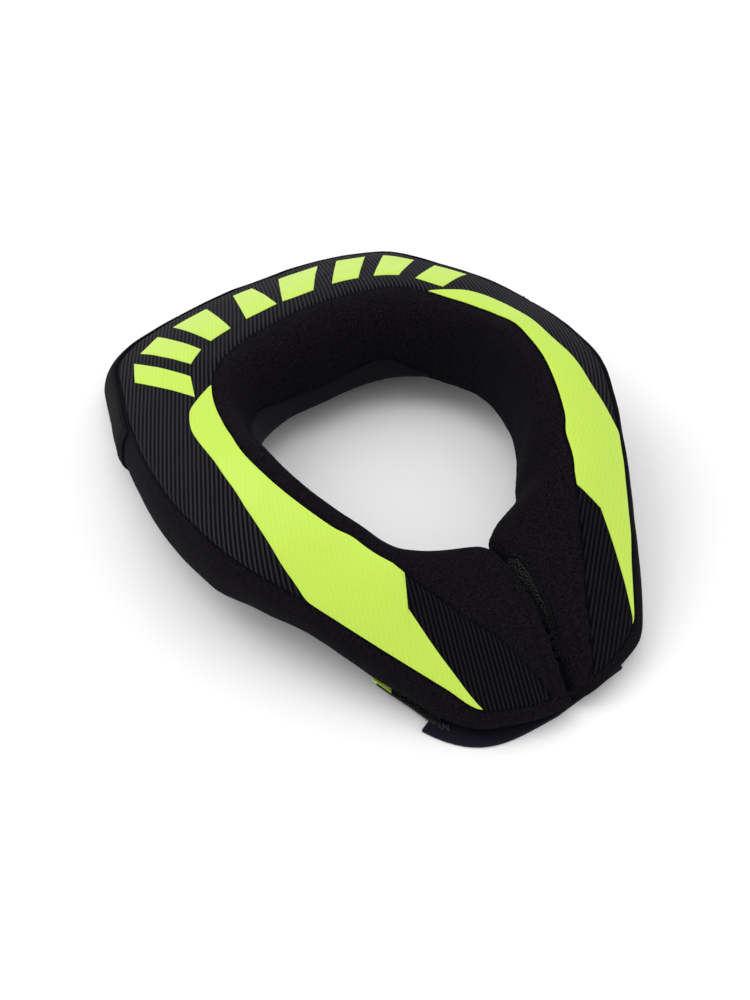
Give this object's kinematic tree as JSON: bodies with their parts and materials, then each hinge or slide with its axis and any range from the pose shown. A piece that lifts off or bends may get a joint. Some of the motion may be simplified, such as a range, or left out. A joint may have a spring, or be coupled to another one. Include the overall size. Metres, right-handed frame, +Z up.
{
  "type": "motocross neck brace",
  "caption": "Padded foam neck collar for motocross: horseshoe pad with a thick inner roll, ribbed top panel, bright flashes and a closure at the front.",
  "frame": {"origin": "on the ground, under the middle of the whole collar's box", "axes": "+Z up as it lies on a table, +Y to the rear of the collar, closure at -Y, +X to the wearer's left when worn"},
  "size_m": [0.227, 0.3065, 0.0744],
  "materials": {
    "jersey": "matte brushed jersey",
    "ribbed": "ribbed fabric",
    "film": "satin printed film on ribbed fabric",
    "woven": "matte woven fabric",
    "lining": "smooth knit",
    "bright": "matte knit",
    "strap": "smooth laminated webbing",
    "hook": "hook fastener"
  },
  "bodies": {
    "root": {"collar_body": "jersey", "flash_left": "film", "flash_right": "film", "front_strap": "strap", "hook_strip": "hook", "hook_tongue": "hook", "inner_lining": "lining", "print_bar_1": "film", "print_bar_2": "film", "print_bar_3": "film", "print_bar_4": "film", "print_bar_5": "film", "print_bar_6": "film", "print_bar_7": "film", "print_bar_8": "film", "rear_wrap": "woven", "under_lining_left": "bright", "under_lining_right": "bright", "yoke_panel": "ribbed"}
  },
  "joints": []
}
